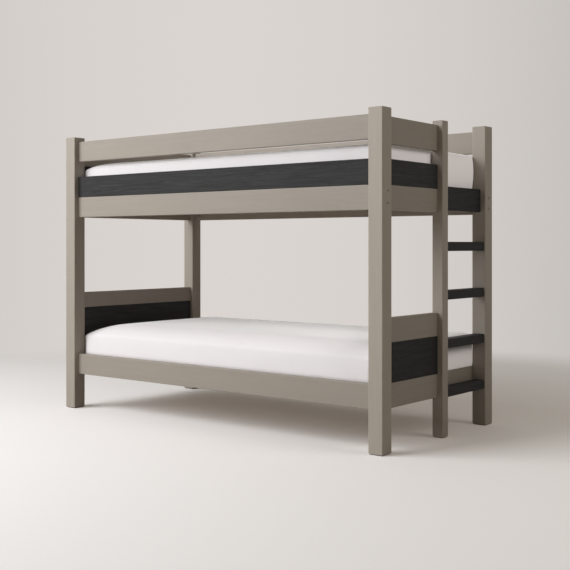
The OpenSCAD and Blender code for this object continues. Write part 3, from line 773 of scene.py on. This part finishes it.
def light_world(settings):
    """Even light from all round, with the background's colour where it is seen."""
    world = bpy.data.worlds.new("Studio")
    bpy.context.scene.world = world
    world.use_nodes = True
    w = Wiring(world.node_tree)
    world.node_tree.nodes.clear()
    direction = w.add("ShaderNodeTexCoord").outputs["Generated"]
    colour = use_group(w, backdrop_colour, {"Direction": direction, "Colour": rgba(settings.back)})["Colour"]
    seen_sky = w.add("ShaderNodeBackground", {"Color": colour, "Strength": 1.0})
    more = w.vector("DOT_PRODUCT", direction, tuple(settings.fill_way))
    strength = w.math("MULTIPLY", w.math("MAXIMUM", w.math("ADD", 1.0, more), FILL_LEAST), settings.fill)
    fill = w.add("ShaderNodeBackground", {"Color": FILL_COLOUR, "Strength": strength})
    mix = w.add("ShaderNodeMixShader", {0: seen_rays(w), 1: fill.outputs[0], 2: seen_sky.outputs[0]})
    out = w.add("ShaderNodeOutputWorld")
    w.put(out.inputs["Surface"], mix.outputs[0])


def soft_light(name, lamp_data, power, receivers=()):
    """A large square light aimed at a point, for all objects or only for some."""
    place, target, size, colour = lamp_data
    data = bpy.data.lights.new(name, "AREA")
    data.shape, data.size, data.energy, data.color = "SQUARE", size, power, colour
    lamp = add_object(name, data)
    lamp.location = place
    lamp.rotation_euler = (Vector(target) - Vector(place)).to_track_quat("-Z", "Y").to_euler()
    if receivers:
        lit = bpy.data.collections.new(name + "_receivers")
        for piece in receivers:
            lit.objects.link(piece)
        lamp.light_linking.receiver_collection = lit


def set_camera(settings):
    """The camera at the photograph's place and angle."""
    data = bpy.data.cameras.new("Camera")
    data.sensor_width, data.lens = SENSOR_WIDTH, settings.lens
    data.shift_x, data.shift_y = SHIFT
    camera = add_object("Camera", data)
    camera.location = settings.eye
    camera.rotation_euler = (math.radians(90), 0.0, settings.heading)
    bpy.context.scene.camera = camera


# Operators


class BED_OT_paint_frame(bpy.types.Operator):
    """Paint the posts, rails and end boards"""

    bl_idname = "bed.paint_frame"
    bl_label = "Paint Posts and Rails"

    def execute(self, context):
        settings = context.scene.bed_timber
        # Painted light: the posts get paler copies of the rails' paint, the front right post the palest
        give(paint_finish(settings, "upright", UPRIGHT, settings.post_gain), PAINTED_UPRIGHT)
        give(paint_finish(settings, "upright and pale", UPRIGHT, settings.pale_gain), PAINTED_WITH_EXTRA_PAINTED_LIGHT)
        give(paint_finish(settings, "along", ALONG), PAINTED_LONG)
        give(paint_finish(settings, "across", ACROSS), PAINTED_CROSS)
        return {"FINISHED"}


class BED_OT_stain_boards(bpy.types.Operator):
    """Stain the mattress rails, panels, entry board and rungs"""

    bl_idname = "bed.stain_boards"
    bl_label = "Stain Dark Boards"

    def execute(self, context):
        settings = context.scene.bed_timber
        give(stain_finish(settings, "along", ALONG), STAINED_LONG)
        give(stain_finish(settings, "across", ACROSS), STAINED_CROSS)
        # Painted shade: a darker copy of the stain on the rungs, the entry board and the lower foot panel
        give(stain_finish(settings, "across and deep", ACROSS, settings.deep_gain), STAINED_IN_PAINTED_SHADE)
        return {"FINISHED"}


class BED_OT_finish_decks(bpy.types.Operator):
    """Finish the slats and their ledgers in bare pine"""

    bl_idname = "bed.finish_decks"
    bl_label = "Finish Slat Decks"

    def execute(self, context):
        settings = context.scene.bed_timber
        give(pine_finish(settings, "along", ALONG), LEDGERS)
        give(pine_finish(settings, "across", ACROSS), SLATS)
        return {"FINISHED"}


class BED_OT_finish_fasteners(bpy.types.Operator):
    """Finish the dowels, bolts, nuts, screws, caps and glides"""

    bl_idname = "bed.finish_fasteners"
    bl_label = "Finish Fasteners and Glides"

    def execute(self, context):
        settings = context.scene.bed_timber
        give(beech_finish(settings, "along", ALONG), DOWELS_LONG)
        give(beech_finish(settings, "across", ACROSS), DOWELS_CROSS)
        give(zinc_finish("Zinc plate", settings.zinc), STEEL)
        give(zinc_finish("Zinc plate, bolts", settings.bolt_zinc), BOLTS)
        give(cap_finish(settings), CAPS)
        give(glide_finish(settings), GLIDES)
        return {"FINISHED"}


class BED_OT_make_mattresses(bpy.types.Operator):
    """Sew and fill the two mattresses"""

    bl_idname = "bed.make_mattresses"
    bl_label = "Make Mattresses"

    def execute(self, context):
        settings = context.scene.bed_mattress
        material = cover_finish(settings)
        for node in MATTRESSES:
            make_mattress(node, settings, material)
        return {"FINISHED"}


class BED_OT_build_studio(bpy.types.Operator):
    """Build the floor, background, lights and camera"""

    bl_idname = "bed.build_studio"
    bl_label = "Build Studio"

    def execute(self, context):
        settings = context.scene.bed_studio
        covers = [bpy.data.objects.get(node + "_cover") for node in MATTRESSES]
        if None in covers:
            raise RuntimeError("The mattresses are made before the studio, because one lamp lights only their covers")
        build_floor(settings)
        light_world(settings)
        soft_light("key_light", KEY_LAMP, settings.key)
        soft_light("side_light", SIDE_LAMP, settings.side)
        soft_light("mattress_light", MATTRESS_LAMP, settings.soft, covers)
        set_camera(settings)
        context.scene.view_settings.view_transform = "Standard"
        return {"FINISHED"}


class BED_PT_panel(bpy.types.Panel):
    """The steps that dress the bed, in order"""

    bl_idname = "BED_PT_panel"
    bl_label = "Bunk Bed"
    bl_space_type = "VIEW_3D"
    bl_region_type = "UI"
    bl_category = "Bunk Bed"

    def draw(self, context):
        for step in STEPS:
            self.layout.operator(step.bl_idname)


STEPS = (
    BED_OT_paint_frame, BED_OT_stain_boards, BED_OT_finish_decks, BED_OT_finish_fasteners,
    BED_OT_make_mattresses, BED_OT_build_studio,
)
CLASSES = (BedTimberSettings, BedMattressSettings, BedStudioSettings, *STEPS, BED_PT_panel)


def register():
    for kind in CLASSES:
        bpy.utils.register_class(kind)
    bpy.types.Scene.bed_timber = bpy.props.PointerProperty(type=BedTimberSettings)
    bpy.types.Scene.bed_mattress = bpy.props.PointerProperty(type=BedMattressSettings)
    bpy.types.Scene.bed_studio = bpy.props.PointerProperty(type=BedStudioSettings)


def unregister():
    del bpy.types.Scene.bed_timber
    del bpy.types.Scene.bed_mattress
    del bpy.types.Scene.bed_studio
    for kind in reversed(CLASSES):
        bpy.utils.unregister_class(kind)


def main():
    register()
    bpy.ops.bed.paint_frame()
    bpy.ops.bed.stain_boards()
    bpy.ops.bed.finish_decks()
    bpy.ops.bed.finish_fasteners()
    bpy.ops.bed.make_mattresses()
    bpy.ops.bed.build_studio()


if __name__ == "__main__":
    main()
